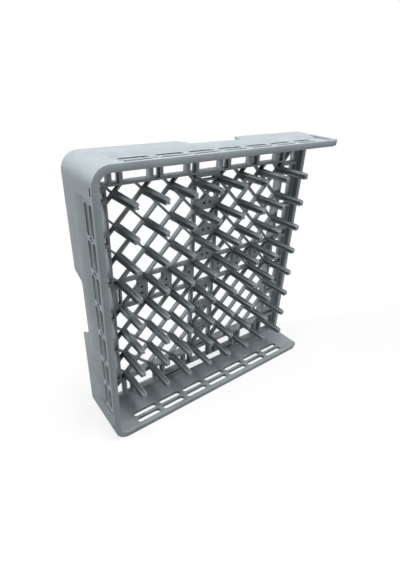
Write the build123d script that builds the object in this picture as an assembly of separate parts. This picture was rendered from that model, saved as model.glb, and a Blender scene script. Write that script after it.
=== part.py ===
from build123d import *
from math import cos, radians, sin
import os

os.makedirs("parts", exist_ok=True)

# Overall size in mm. The rack stands on one side wall: X runs from the closed end to the open end,
# Z is up, and "depth" is counted from the underside of the base towards the rim, along -Y.
SIDE = 500.0
HALF = SIDE / 2
WALL_HEIGHT = 108.0
CORNER_RADIUS = 28.0

# Wall section: insets are counted inwards from the outer wall plane.
WALL_THICKNESS = 8.0
SKIRT_THICKNESS = 4.0
RIM_WIDTH = 11.0
RIM_START = 102.0
RIM_CORNER_LENGTH = 16.0
RIM_CORNER_DROP = 6.5

# Hollow panel on the outside of each wall: a slope that steepens, then a step up to the slotted panel.
SLOPE_START = 40.0
SLOPE_MIDDLE = 52.0
SLOPE_END = 63.5
SLOPE_MIDDLE_INSET = 1.8
SLOPE_INSET = 5.6
PANEL_START = 67.5
PANEL_END = 101.0
PANEL_INSET = 2.6
PANEL_CORNER_GAP = 43.0
PANEL_FREE_GAP = 12.0

# Slots in two rows, with a small sunk diamond between each four slot ends.
SLOTS_PER_ROW = 7
SLOT_LENGTH = 50.0
SLOT_WIDTH = 11.0
SLOT_END_SIDES = 5
SLOT_ROWS = (75.5, 92.0)
SIDE_SLOT_PITCH = 58.2
SIDE_SLOT_CENTRE = 2.0
END_SLOT_PITCH = 55.0
END_PANEL_LENGTH = 393.0
END_PANEL_CENTRE = 8.0
DIAMOND_LENGTH = 8.0
DIAMOND_HEIGHT = 12.0
DIAMOND_INSET = 4.6

# Finger notch in the underside edge of each wall. A rail behind it carries the ends of the border posts.
NOTCH_WIDTH = 128.0
NOTCH_FLOOR_WIDTH = 106.0
NOTCH_HEIGHT = 28.0
NOTCH_RADIUS = 8.0
NOTCH_REACH = 16.0
SIDE_NOTCH_CENTRE = 13.0

# Base lattice: every rib ends at the same depth, and the pegs carry on from it. The frame round the
# lattice reaches back to the underside, the deep ribs less far and the diagonal ribs least.
PITCH = 52.5
PEGS_PER_ROW = 8
PATTERN_X = 2.5
PATTERN_Z = HALF
BASE_DEPTH = 22.0
RIB_THICKNESS = 3.6
RIB_BACK = 12.0
DEEP_BACK = 8.0
FRAME_SIDE = 399.0
BORDER_WIDTH = 10.5
CORNER_RIB_INSET = 11.0
BORDER_TOP = 23.5

# Border posts in pairs between the frame and the walls.
POST_PITCH = 73.0
POST_SHIFT = 3.0
POST_PAIRS = 6
POST_SPACING = 18.5
POST_THICKNESS = 6.5

# Plates in the central cross of deep ribs, each with two square pin holes, and slit plates at its ends.
PLATE_REACH = 17.5
SLIT_WIDTH = 4.5
SLIT_LENGTH = 31.0
PIN_HOLE = 4.6
PIN_SINK = 5.0
PIN_PLACE = 11.0
PIN_SPACING = 13.0

# Pegs of X section: each blade carries on from the rib below it, at the rib's thickness.
PEG_ROOT = 18.0
PEG_TIP = 94.5
PEG_TIP_BEVEL = 2.5
PEG_ROOT_WIDTH = 15.0
PEG_TIP_WIDTH = 13.0
PEG_END_WIDTH = 9.0

# Small pockets beside the rim, at both ends of the closed wall.
POCKET_LENGTH = 11.0
POCKET_WIDTH = 3.6
POCKET_SINK = 5.0
POCKET_PLACE = 216.0
POCKET_DEPTH = 101.0

# Lip along the open end.
LIP_THICKNESS = 9.0
LIP_HEIGHT = 33.0
LEDGE_THICKNESS = 13.0
LEDGE_BOTTOM = 7.0
LEDGE_TOP = 22.0

# Cutting tools reach past the faces that they cut by this much.
OVERCUT = 2.0


def depth_plane(depth):
    """Plane parallel to the base at a depth, whose local axes are X and Z."""
    return Plane.XZ.offset(depth - WALL_HEIGHT / 2)


def layer(sketch, start, end):
    """A flat sketch in X and Z made solid between two depths."""
    return extrude(depth_plane(start) * sketch, amount=end - start)


def inside(inset, overrun=0.0):
    """The rack's plan, drawn in by an inset on three sides and past the open end by an overrun."""
    length = SIDE - inset + overrun
    plan = Pos((inset + overrun) / 2, HALF) * Rectangle(length, SIDE - 2 * inset)
    return fillet(plan.vertices().group_by(Axis.X)[0], CORNER_RADIUS - inset)


def wall_band(outer, inner):
    """The plan of the three walls between two insets."""
    return inside(outer) - inside(inner, OVERCUT)


def rib(x, z, length, thickness, angle=0.0):
    """A straight rib in plan, placed in the pattern's own axes."""
    return Pos(PATTERN_X + x, PATTERN_Z + z) * Rot(0, 0, angle) * Rectangle(length, thickness)


def steps(count, pitch):
    """Evenly spaced places about zero."""
    return [(i - (count - 1) / 2) * pitch for i in range(count)]


def make_walls():
    skirt = layer(wall_band(0, SKIRT_THICKNESS), 0, DEEP_BACK)
    wall = layer(wall_band(0, WALL_THICKNESS), DEEP_BACK, RIM_START)
    rim = layer(wall_band(0, RIM_WIDTH), RIM_START, WALL_HEIGHT)
    border = layer(wall_band(SKIRT_THICKNESS, BORDER_WIDTH), DEEP_BACK, BORDER_TOP)
    return skirt + wall + rim + border


def make_lip():
    strip = Pos(HALF - LIP_THICKNESS / 2, HALF) * Rectangle(LIP_THICKNESS, SIDE)
    ledge = Pos(HALF - LEDGE_THICKNESS / 2, HALF) * Rectangle(LEDGE_THICKNESS, SIDE - WALL_THICKNESS)
    return layer(strip, 0, LIP_HEIGHT) + layer(ledge, LEDGE_BOTTOM, LEDGE_TOP)


def diagonal_ribs():
    """Both families of 45 degree ribs, through every peg, inside the frame."""
    ribs = []
    for k in range(1 - PEGS_PER_ROW, PEGS_PER_ROW):
        middle = k * PITCH / 2
        ribs.append(rib(middle, middle, 2 * FRAME_SIDE, RIB_THICKNESS, -45))
        ribs.append(rib(middle, -middle, 2 * FRAME_SIDE, RIB_THICKNESS, 45))
    return Sketch() + ribs & rib(0, 0, FRAME_SIDE, FRAME_SIDE)


def frame_ring():
    hollow = FRAME_SIDE - 2 * RIB_THICKNESS
    return rib(0, 0, FRAME_SIDE, FRAME_SIDE) - rib(0, 0, hollow, hollow)


def border_ribs():
    """Pairs of posts from the frame to the walls and the lip, notch rails, and a rib at each corner."""
    start = FRAME_SIDE / 2 - RIB_THICKNESS / 2
    side_reach = HALF - WALL_THICKNESS - start
    closed_reach = HALF + PATTERN_X - WALL_THICKNESS - start
    open_reach = HALF - PATTERN_X - LIP_THICKNESS - start
    ribs = []
    for pair in steps(POST_PAIRS, POST_PITCH):
        for post in steps(2, POST_SPACING):
            place = pair + post
            ribs.append(rib(POST_SHIFT + place, start + side_reach / 2, POST_THICKNESS, side_reach))
            ribs.append(rib(POST_SHIFT + place, -start - side_reach / 2, POST_THICKNESS, side_reach))
            ribs.append(rib(-start - closed_reach / 2, place, closed_reach, POST_THICKNESS))
            ribs.append(rib(start + open_reach / 2, place, open_reach, POST_THICKNESS))
    rail_length = 3 * POST_PITCH - POST_SPACING
    rail_place = HALF - NOTCH_REACH - RIB_THICKNESS / 2
    for side in (-1, 1):
        ribs.append(rib(POST_SHIFT, side * rail_place, rail_length, RIB_THICKNESS))
    ribs.append(rib(-PATTERN_X - rail_place, 0, RIB_THICKNESS, rail_length))
    for end, reach in ((-1, HALF + PATTERN_X - CORNER_RIB_INSET), (1, HALF - PATTERN_X - CORNER_RIB_INSET)):
        middle = (start + reach) / 2
        length = (reach - start) * 2 ** 0.5
        for side in (-1, 1):
            ribs.append(rib(end * middle, side * middle, length, RIB_THICKNESS, 45 * end * side))
    return ribs


def cross_ribs():
    """Deep ribs of the central cross, along the middle two rows and columns of pegs."""
    ribs = []
    for place in (-PITCH / 2, PITCH / 2):
        ribs.append(rib(0, place, FRAME_SIDE, RIB_THICKNESS))
        ribs.append(rib(place, 0, RIB_THICKNESS, FRAME_SIDE))
    return ribs


def cross_rungs():
    """Short deep ribs across the arms of the cross, at the rows of pegs between its middle and its ends."""
    rungs = []
    for place in steps(PEGS_PER_ROW, PITCH)[1:-1]:
        if abs(place) > PITCH:
            rungs.append(rib(place, 0, RIB_THICKNESS, PITCH))
            rungs.append(rib(0, place, PITCH, RIB_THICKNESS))
    return rungs


def cross_arms():
    """Places of the four arms of the cross, each with its own X axis running outwards."""
    return [Pos(PATTERN_X, PATTERN_Z) * Rot(0, 0, 90 * turn) for turn in range(4)]


def along_arms(shape):
    """A plan shape repeated along the four arms, outside every row of pegs but the last."""
    places = steps(PEGS_PER_ROW, PITCH)[PEGS_PER_ROW // 2:-1]
    return [arm * Pos(place, 0) * shape for arm in cross_arms() for place in places]


def cross_plates():
    """Plates across an arm from a row of pegs, each with a point to the next crossing of diagonal ribs."""
    half = PITCH / 2
    neck = half - PLATE_REACH
    shoulder = [(PLATE_REACH, -half), (PLATE_REACH, -neck)]
    other = [(PLATE_REACH, neck), (PLATE_REACH, half)]
    return along_arms(Polygon((0, -half), *shoulder, (half, 0), *other, (0, half), align=None))


def end_plates():
    """Plates between the last row of pegs and the frame, each with a slit beside that row."""
    start = (PEGS_PER_ROW - 1) * PITCH / 2 - RIB_THICKNESS / 2
    length = FRAME_SIDE / 2 - RIB_THICKNESS / 2 - start
    plate = Pos(start + length / 2, 0) * Rectangle(length, PITCH)
    plate -= Pos(start + RIB_THICKNESS + SLIT_WIDTH / 2, 0) * Rectangle(SLIT_WIDTH, SLIT_LENGTH)
    return [arm * plate for arm in cross_arms()]


def pin_holes():
    """Blind holes in the plates."""
    holes = []
    for side in steps(2, PIN_SPACING):
        holes += along_arms(Pos(PIN_PLACE, side) * Rectangle(PIN_HOLE, PIN_HOLE))
    return layer(Sketch() + holes, BASE_DEPTH - PIN_SINK, BASE_DEPTH)


def make_base():
    frame = frame_ring()
    deep = frame + border_ribs() + cross_ribs() + cross_rungs()
    full = deep + diagonal_ribs() + cross_plates() + end_plates()
    ribs = layer(deep, DEEP_BACK, RIB_BACK) + layer(full, RIB_BACK, BASE_DEPTH) - pin_holes()
    return layer(frame, 0, DEEP_BACK) + ribs


def blade_cross(width, depth):
    """X section of a peg at a depth."""
    section = Rot(0, 0, 45) * Rectangle(width, RIB_THICKNESS)
    section += Rot(0, 0, -45) * Rectangle(width, RIB_THICKNESS)
    return depth_plane(depth) * section


def make_peg():
    bevel = PEG_TIP - PEG_TIP_BEVEL
    shoulder = blade_cross(PEG_TIP_WIDTH, bevel)
    shaft = loft([blade_cross(PEG_ROOT_WIDTH, PEG_ROOT), shoulder], ruled=True)
    tip = loft([shoulder, blade_cross(PEG_END_WIDTH, PEG_TIP)], ruled=True)
    return shaft + tip


def make_pegs():
    peg = make_peg()
    places = steps(PEGS_PER_ROW, PITCH)
    return [Pos(PATTERN_X + x, 0, PATTERN_Z + z) * peg for x in places for z in places]


def panel_cut(start, end):
    """Hollow of the slope and the slotted panel, in a wall's own axes: along it, depth, inwards."""
    outline = [
        ThreePointArc((SLOPE_START, 0), (SLOPE_MIDDLE, SLOPE_MIDDLE_INSET), (SLOPE_END, SLOPE_INSET)),
        Line((SLOPE_END, SLOPE_INSET), (PANEL_START, PANEL_INSET)),
        Line((PANEL_START, PANEL_INSET), (PANEL_END, PANEL_INSET)),
        Line((PANEL_END, PANEL_INSET), (PANEL_END, -OVERCUT)),
        Line((PANEL_END, -OVERCUT), (SLOPE_START, -OVERCUT)),
        Line((SLOPE_START, -OVERCUT), (SLOPE_START, 0)),
    ]
    section = make_face(Curve() + outline)
    return Pos(start, 0, 0) * extrude(Plane.YZ * section, amount=end - start)


def slot_outline():
    """A slot whose round ends are stepped into a few flats."""
    radius = SLOT_WIDTH / 2
    straight = SLOT_LENGTH / 2 - radius
    corners = []
    for middle, turn in ((straight, -90), (-straight, 90)):
        for i in range(SLOT_END_SIDES + 1):
            angle = radians(turn + 180 * i / SLOT_END_SIDES)
            corners.append((middle + radius * cos(angle), radius * sin(angle)))
    return Polygon(*corners, align=None)


def slot_cuts(centre, pitch):
    """Two rows of slots through a wall, and the sunk diamonds between their ends."""
    slot = slot_outline()
    slots = Sketch()
    for row in SLOT_ROWS:
        for place in steps(SLOTS_PER_ROW, pitch):
            slots += Pos(centre + place, row) * slot
    diamonds = Sketch()
    for place in steps(SLOTS_PER_ROW - 1, pitch):
        half_length = DIAMOND_LENGTH / 2
        half_height = DIAMOND_HEIGHT / 2
        diamond = Polygon((half_length, 0), (0, half_height), (-half_length, 0), (0, -half_height))
        diamonds += Pos(centre + place, sum(SLOT_ROWS) / 2) * diamond
    through = extrude(Pos(0, 0, -OVERCUT) * slots, amount=RIM_WIDTH + 2 * OVERCUT)
    sunk = extrude(Pos(0, 0, -OVERCUT) * diamonds, amount=DIAMOND_INSET + OVERCUT)
    return through + sunk


def notch_cut(centre):
    """Finger notch through the underside edge of a wall, with rounded corners."""
    notch = Polygon(
        (-NOTCH_WIDTH / 2, 0),
        (NOTCH_WIDTH / 2, 0),
        (NOTCH_FLOOR_WIDTH / 2, NOTCH_HEIGHT),
        (-NOTCH_FLOOR_WIDTH / 2, NOTCH_HEIGHT),
        align=None,
    )
    rounded = fillet(notch.vertices().group_by(Axis.Y)[-1], NOTCH_RADIUS)
    mouth = Pos(0, -OVERCUT / 2) * Rectangle(NOTCH_WIDTH, OVERCUT)
    return extrude(Pos(centre, 0, -OVERCUT) * (rounded + mouth), amount=NOTCH_REACH + OVERCUT)


def side_wall_cuts(along):
    """Cuts of a side wall. The wall's own long axis runs along +X or -X, which flips places on it."""
    closed = -HALF + PANEL_CORNER_GAP
    free = HALF - PANEL_FREE_GAP
    start, end = sorted((along * closed, along * free))
    slots = slot_cuts(along * SIDE_SLOT_CENTRE, SIDE_SLOT_PITCH)
    return [panel_cut(start, end), slots, notch_cut(along * SIDE_NOTCH_CENTRE)]


def end_wall_cuts():
    start = END_PANEL_CENTRE - END_PANEL_LENGTH / 2
    panel = panel_cut(start, start + END_PANEL_LENGTH)
    pocket = Box(POCKET_LENGTH, POCKET_WIDTH, 2 * POCKET_SINK)
    pockets = [Pos(side * POCKET_PLACE, POCKET_DEPTH, 0) * pocket for side in (-1, 1)]
    return [panel, slot_cuts(END_PANEL_CENTRE, END_SLOT_PITCH), notch_cut(0)] + pockets


def rim_corner_cut():
    """Slanting cut that takes the corner off the rim at the free ends of both side walls."""
    front = -WALL_HEIGHT / 2
    corner = Polygon(
        (HALF - RIM_CORNER_LENGTH, front),
        (HALF - RIM_CORNER_LENGTH, front - OVERCUT),
        (HALF + OVERCUT, front - OVERCUT),
        (HALF + OVERCUT, front + RIM_CORNER_DROP),
        (HALF, front + RIM_CORNER_DROP),
        align=None,
    )
    return extrude(corner, amount=SIDE)


def make_rack():
    underside = WALL_HEIGHT / 2
    top = Plane(origin=(0, underside, SIDE), x_dir=(1, 0, 0), z_dir=(0, 0, -1))
    bottom = Plane(origin=(0, underside, 0), x_dir=(-1, 0, 0), z_dir=(0, 0, 1))
    closed_end = Plane(origin=(-HALF, underside, HALF), x_dir=(0, 0, 1), z_dir=(1, 0, 0))
    cuts = [top * cut for cut in side_wall_cuts(1)]
    cuts += [bottom * cut for cut in side_wall_cuts(-1)]
    cuts += [closed_end * cut for cut in end_wall_cuts()]
    cuts.append(rim_corner_cut())
    shell = make_walls() + make_lip()
    shell = shell + make_base()
    shell = shell - cuts
    return shell + make_pegs()


rack = make_rack()
export_step(rack, "parts/rack.step")
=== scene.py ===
# Looks of the dishwasher tray rack: a soft-edged copy of the moulded solid, its plastic, the floor,
# the light and the camera. Metres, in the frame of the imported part.
import math

import bmesh
import bpy
from mathutils import Matrix, Vector


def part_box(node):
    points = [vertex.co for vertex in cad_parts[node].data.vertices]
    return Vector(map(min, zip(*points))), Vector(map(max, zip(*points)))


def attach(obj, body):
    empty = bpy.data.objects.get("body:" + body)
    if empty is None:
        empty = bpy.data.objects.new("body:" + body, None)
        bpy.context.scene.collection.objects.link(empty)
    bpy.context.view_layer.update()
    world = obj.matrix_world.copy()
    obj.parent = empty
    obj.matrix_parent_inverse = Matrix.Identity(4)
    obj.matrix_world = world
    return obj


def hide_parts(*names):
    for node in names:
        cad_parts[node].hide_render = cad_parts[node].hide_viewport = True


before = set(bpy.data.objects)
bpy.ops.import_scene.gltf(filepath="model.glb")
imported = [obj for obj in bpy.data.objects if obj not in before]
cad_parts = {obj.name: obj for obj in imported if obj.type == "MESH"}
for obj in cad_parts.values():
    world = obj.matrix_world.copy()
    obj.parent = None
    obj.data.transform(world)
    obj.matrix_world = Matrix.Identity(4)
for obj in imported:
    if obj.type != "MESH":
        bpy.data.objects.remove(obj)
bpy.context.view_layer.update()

# Rounding of the moulded edges.
WELD = 1e-5
SHARP_ANGLE = math.radians(40)
EDGE_ROUND = 0.0005
EDGE_SEGMENTS = 2
EDGE_PROFILE = 0.5

# Raised beads round the slots, on the outside of the walls.
BEAD_RADIUS = 0.0009
BEAD_SIDES = 10
BEAD_END_STEPS = 8

# Slots in a wall's own axes: along the wall from its middle, and in depth from the underside of the base.
# A row on a side wall, and on the closed end's wall, is given by its middle and its pitch.
PANEL_INSET = 0.0026
SLOT_RADIUS = 0.0055
SLOT_STRAIGHT = 0.039
SLOT_DEPTHS = (0.0755, 0.092)
SLOTS_PER_ROW = 7
SIDE_SLOTS = (0.002, 0.0582)
END_SLOTS = (0.008, 0.055)

# Colours of the grey plastic, and the part of the mottling over which the dark one turns into the light one.
TINT_DARK = (0.218, 0.250, 0.266, 1)
TINT_LIGHT = (0.273, 0.311, 0.329, 1)
TINT_SPREAD = (0.32, 0.70)
# Colour of the paler edges, which are partly wear and partly a painted highlight.
PALE_EDGE_OF_WEAR_AND_HIGHLIGHT = (0.46, 0.50, 0.51, 1)

# Noises of the plastic: scale, detail and roughness. Their values lie mostly within NOISE_SPREAD.
MOTTLE = (14.0, 4.0, 0.6)
SPECK = (420.0, 3.0, 0.65)
SCUFF = (60.0, 5.0, 0.7)
GRAIN = (1400.0, 2.0, 0.5)
SINK_MARKS = (45.0, 2.0, 0.5)
NOISE_SPREAD = (0.3, 0.7)

# Painted shade in corners and paler edges that are partly wear and partly a painted highlight: how far
# corners and edges are looked for, and how open they are at each end of a range.
CORNER_SHADE_REACH = 0.014
CORNER_SHADE_OPEN = (0.25, 0.95)
EDGE_REACH = 0.0022
EDGE_OPEN = (0.85, 0.45)
FORM_SAMPLES = 8

# What the noises and the form do to the plastic, as the lowest and highest value, and depths of its relief.
SPECK_LEVELS = (0.93, 1.07)
# Painted shade: the share of the colour that is left, from the most enclosed corners to open faces.
CORNER_SHADE_LEVELS = (0.32, 1.0)
# Paler edges: partly wear, partly a painted highlight, as the lowest and highest share of the pale colour.
EDGE_WEAR_AND_HIGHLIGHT_LEVELS = (0.0, 0.9)
ROUGHNESS = (0.44, 0.58)
GRAIN_STRENGTH = 0.12
GRAIN_DEPTH = 0.0002
SINK_STRENGTH = 0.10
SINK_DEPTH = 0.0006
PLASTIC_IOR = 1.49
PLASTIC_SPECULAR = 0.4

# White studio: what its sky and floor give the object, and how far out the floor turns plain white.
SKY_FILL = 0.07
FLOOR_BOUNCE = (0.38, 0.38, 0.38, 1)
FLOOR_SHADE = (0.82, 0.82, 0.82, 1)
SHADOW_VEIL = 0.78
SHADOW_REACH = (0.35, 0.95)
WHITE = (1, 1, 1, 1)
FLOOR_HALF = 6.0
FLOOR_GAP = 0.0002

# Square lamps: name, place, side and power. All point at the middle of the rack.
LAMP_AIM = Vector((0.0, 0.0, 0.25))
LAMPS = (
    ("overhead", Vector((0.15, -0.3, 2.0)), 0.9, 46.0),
    ("left", Vector((-1.6, 0.6, 1.4)), 0.5, 31.0),
    ("front", Vector((0.6, -2.0, 0.35)), 1.0, 10.0),
)

# Photograph's camera: angles in radians, lens and sensor in mm.
CAMERA_PLACE = Vector((-0.42494, -0.50447, 0.60826))
CAMERA_YAW = 0.6638
CAMERA_PITCH = -0.5199
CAMERA_ROLL = 0.0463
CAMERA_LENS = 23.98
CAMERA_SENSOR = 36.0
CAMERA_CLIP = 0.01


def bead_path():
    """Points on a slot's edge, each with its direction away from the slot."""
    points = []
    for end in (1, -1):
        for i in range(BEAD_END_STEPS + 1):
            angle = math.pi * (i / BEAD_END_STEPS - end / 2)
            away = Vector((math.cos(angle), math.sin(angle)))
            points.append((Vector((end * SLOT_STRAIGHT / 2, 0)) + SLOT_RADIUS * away, away))
    return points


def add_bead(bm, middle, along, deep, outward):
    """A closed round bead along a slot's edge, half sunk in the panel."""
    rings = []
    for point, away in bead_path():
        aside = along * away.x + deep * away.y
        centre = middle + along * point.x + deep * point.y + aside * BEAD_RADIUS / 2
        ring = []
        for j in range(BEAD_SIDES):
            angle = 2 * math.pi * j / BEAD_SIDES
            offset = aside * math.cos(angle) + outward * math.sin(angle)
            ring.append(bm.verts.new(centre + BEAD_RADIUS * offset))
        rings.append(ring)
    faces = []
    for ring, after in zip(rings, rings[1:] + rings[:1]):
        for j in range(BEAD_SIDES):
            k = (j + 1) % BEAD_SIDES
            faces.append(bm.faces.new((ring[j], after[j], after[k], ring[k])))
    bmesh.ops.recalc_face_normals(bm, faces=faces)


def add_slot_beads(bm, box):
    """Beads round both rows of slots on the two side walls and the closed end's wall."""
    low, high = box
    middle = (low + high) / 2
    deep = Vector((0, -1, 0))
    right, up = Vector((1, 0, 0)), Vector((0, 0, 1))
    walls = (
        (Vector((middle.x, high.y, high.z)), right, up, SIDE_SLOTS),
        (Vector((middle.x, high.y, low.z)), right, -up, SIDE_SLOTS),
        (Vector((low.x, high.y, middle.z)), up, -right, END_SLOTS),
    )
    for origin, along, outward, (centre, pitch) in walls:
        panel = origin - outward * PANEL_INSET
        for depth in SLOT_DEPTHS:
            for i in range(SLOTS_PER_ROW):
                place = centre + (i - (SLOTS_PER_ROW - 1) / 2) * pitch
                add_bead(bm, panel + along * place + deep * depth, along, deep, outward)


def soft_edged_copy(node, name):
    """A new piece with the form of a CAD node, edges rounded and slots beaded as the mould leaves them."""
    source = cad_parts[node].data
    bm = bmesh.new()
    for vertex in source.vertices:
        bm.verts.new(vertex.co)
    bm.verts.ensure_lookup_table()
    for polygon in source.polygons:
        bm.faces.new([bm.verts[i] for i in polygon.vertices])
    bmesh.ops.remove_doubles(bm, verts=bm.verts, dist=WELD)
    sharp = [e for e in bm.edges if len(e.link_faces) == 2 and e.calc_face_angle(0.0) > SHARP_ANGLE]
    bmesh.ops.bevel(
        bm,
        geom=sharp,
        offset=EDGE_ROUND,
        offset_type="OFFSET",
        segments=EDGE_SEGMENTS,
        profile=EDGE_PROFILE,
        affect="EDGES",
        clamp_overlap=False,
        loop_slide=False,
    )
    add_slot_beads(bm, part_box(node))
    for face in bm.faces:
        face.smooth = True
    mesh = bpy.data.meshes.new(name)
    bm.to_mesh(mesh)
    bm.free()
    mesh.set_sharp_from_angle(angle=SHARP_ANGLE)
    piece = bpy.data.objects.new(name, mesh)
    bpy.context.scene.collection.objects.link(piece)
    return piece


def node_maker(tree):
    """A function that adds a node to an emptied tree, with its settings, socket values and links."""
    tree.nodes.clear()

    def add(kind, inputs=None, **settings):
        node = tree.nodes.new(kind)
        for key, value in settings.items():
            setattr(node, key, value)
        for key, value in (inputs or {}).items():
            socket = node.inputs[key]
            if isinstance(value, bpy.types.NodeSocket):
                tree.links.new(value, socket)
            else:
                socket.default_value = value
        return node

    return add


def add_range(add, value, source, target, **settings):
    """A value moved from one range to another."""
    inputs = {
        "Value": value,
        "From Min": source[0],
        "From Max": source[1],
        "To Min": target[0],
        "To Max": target[1],
    }
    return add("ShaderNodeMapRange", inputs, **settings).outputs["Result"]


def add_math(add, operation, first, second):
    """Two values combined into one."""
    return add("ShaderNodeMath", {0: first, 1: second}, operation=operation).outputs["Value"]


def add_mix(add, factor, first, second, **settings):
    """Two colours mixed by a factor."""
    inputs = {"Factor": factor, "A": first, "B": second}
    return add("ShaderNodeMix", inputs, data_type="RGBA", **settings).outputs["Result"]


def add_relief(add, height, strength, depth, **below):
    """A fine relief from a height, laid over another one where it is given."""
    inputs = {"Height": height, "Strength": strength, "Distance": depth, **below}
    return add("ShaderNodeBump", inputs).outputs["Normal"]


def moulded_plastic(name):
    """Satin grey polypropylene: slow mottling, fine moulded grain, paler edges that are partly wear and
    partly a painted highlight, and corners darkened by painted shade.
    """
    material = bpy.data.materials.new(name)
    material.use_nodes = True
    add = node_maker(material.node_tree)
    place = add("ShaderNodeTexCoord").outputs["Object"]

    def noise(scale, detail, roughness):
        inputs = {"Vector": place, "Scale": scale, "Detail": detail, "Roughness": roughness}
        return add("ShaderNodeTexNoise", inputs).outputs["Fac"]

    def openness(reach, **settings):
        inputs = {"Distance": reach}
        return add("ShaderNodeAmbientOcclusion", inputs, samples=FORM_SAMPLES, **settings).outputs["AO"]

    tint = add("ShaderNodeValToRGB", {"Fac": noise(*MOTTLE)})
    for stop, position, colour in zip(tint.color_ramp.elements, TINT_SPREAD, (TINT_DARK, TINT_LIGHT)):
        stop.position = position
        stop.color = colour

    speck = add_range(add, noise(*SPECK), NOISE_SPREAD, SPECK_LEVELS)
    grained = add_mix(add, 1.0, tint.outputs["Color"], speck, blend_type="MULTIPLY")
    # Painted shade: the colour is darkened in corners, creases and grooves by how enclosed they are.
    painted_corner_shade = add_range(add, openness(CORNER_SHADE_REACH, only_local=True), CORNER_SHADE_OPEN, CORNER_SHADE_LEVELS)
    shaded = add_mix(add, 1.0, grained, painted_corner_shade, blend_type="MULTIPLY")

    scuff = noise(*SCUFF)
    # Paler convex edges, patchy by the scuff noise: partly wear, partly a painted highlight.
    edge = add_range(add, openness(EDGE_REACH, inside=True), EDGE_OPEN, EDGE_WEAR_AND_HIGHLIGHT_LEVELS)
    paled = add_mix(add, add_math(add, "MULTIPLY", edge, scuff), shaded, PALE_EDGE_OF_WEAR_AND_HIGHLIGHT)

    fine = add_relief(add, noise(*GRAIN), GRAIN_STRENGTH, GRAIN_DEPTH)
    relief = add_relief(add, noise(*SINK_MARKS), SINK_STRENGTH, SINK_DEPTH, Normal=fine)
    shader = add(
        "ShaderNodeBsdfPrincipled",
        {
            "Base Color": paled,
            "Roughness": add_range(add, scuff, NOISE_SPREAD, ROUGHNESS),
            "Normal": relief,
            "IOR": PLASTIC_IOR,
            "Specular IOR Level": PLASTIC_SPECULAR,
        },
    )
    add("ShaderNodeOutputMaterial", {"Surface": shader.outputs["BSDF"]})
    return material


def white_world():
    """White to the camera and in reflections, dimmer as a source of light."""
    world = bpy.data.worlds.new("studio")
    world.use_nodes = True
    add = node_maker(world.node_tree)
    path = add("ShaderNodeLightPath").outputs
    seen = add_math(add, "MAXIMUM", path["Is Camera Ray"], path["Is Glossy Ray"])
    seen_or_through = add_math(add, "MAXIMUM", seen, path["Is Transmission Ray"])
    strength = add_range(add, seen_or_through, (0.0, 1.0), (SKY_FILL, 1.0))
    sky = add("ShaderNodeBackground", {"Color": WHITE, "Strength": strength})
    add("ShaderNodeOutputWorld", {"Surface": sky.outputs["Background"]})
    bpy.context.scene.world = world


def floor_finish():
    """White with a veiled shadow near the object for the camera, grey in the light that it gives back."""
    material = bpy.data.materials.new("floor")
    material.use_nodes = True
    add = node_maker(material.node_tree)
    seen = add("ShaderNodeLightPath").outputs["Is Camera Ray"]
    place = add("ShaderNodeTexCoord").outputs["Object"]
    distance = add("ShaderNodeVectorMath", {0: place}, operation="LENGTH").outputs["Value"]
    veil = add_range(add, distance, SHADOW_REACH, (SHADOW_VEIL, 1.0), interpolation_type="SMOOTHSTEP")
    shaded = add("ShaderNodeBsdfDiffuse", {"Color": FLOOR_SHADE}).outputs["BSDF"]
    plain = add("ShaderNodeEmission", {"Color": WHITE, "Strength": 1.0}).outputs["Emission"]
    veiled = add("ShaderNodeMixShader", {0: veil, 1: shaded, 2: plain}).outputs["Shader"]
    bounce = add("ShaderNodeBsdfDiffuse", {"Color": FLOOR_BOUNCE}).outputs["BSDF"]
    either = add("ShaderNodeMixShader", {0: seen, 1: bounce, 2: veiled}).outputs["Shader"]
    add("ShaderNodeOutputMaterial", {"Surface": either})
    return material


def white_floor():
    """A wide floor just under the object."""
    mesh = bpy.data.meshes.new("floor")
    bm = bmesh.new()
    bmesh.ops.create_grid(bm, x_segments=1, y_segments=1, size=FLOOR_HALF)
    bm.to_mesh(mesh)
    bm.free()
    mesh.materials.append(floor_finish())
    floor = bpy.data.objects.new("floor", mesh)
    floor.location = (0, 0, -FLOOR_GAP)
    bpy.context.scene.collection.objects.link(floor)


def square_lamp(name, place, side, power):
    """A square lamp that points at the middle of the rack."""
    data = bpy.data.lights.new(name, "AREA")
    data.shape = "SQUARE"
    data.size = side
    data.energy = power
    lamp = bpy.data.objects.new(name, data)
    lamp.location = place
    lamp.rotation_mode = "QUATERNION"
    lamp.rotation_quaternion = (LAMP_AIM - place).to_track_quat("-Z", "Y")
    bpy.context.scene.collection.objects.link(lamp)


def photo_camera():
    """The photograph's camera, turned by its yaw and pitch and then rolled about its own axis."""
    level = math.cos(CAMERA_PITCH)
    ahead = Vector((math.sin(CAMERA_YAW) * level, math.cos(CAMERA_YAW) * level, math.sin(CAMERA_PITCH)))
    right = ahead.cross(Vector((0, 0, 1))).normalized()
    above = right.cross(ahead)
    across = math.cos(CAMERA_ROLL) * right + math.sin(CAMERA_ROLL) * above
    upright = math.cos(CAMERA_ROLL) * above - math.sin(CAMERA_ROLL) * right
    turn = Matrix((across, upright, -ahead)).transposed()
    data = bpy.data.cameras.new("photo_camera")
    data.sensor_width = CAMERA_SENSOR
    data.lens = CAMERA_LENS
    data.clip_start = CAMERA_CLIP
    camera = bpy.data.objects.new("photo_camera", data)
    camera.matrix_world = Matrix.Translation(CAMERA_PLACE) @ turn.to_4x4()
    bpy.context.scene.collection.objects.link(camera)
    bpy.context.scene.camera = camera


rack = soft_edged_copy("rack", "rack_moulding")
rack.data.materials.append(moulded_plastic("rack_plastic"))
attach(rack, "root")
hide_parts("rack")

white_world()
white_floor()
for lamp in LAMPS:
    square_lamp(*lamp)
photo_camera()
bpy.context.scene.view_settings.view_transform = "Standard"
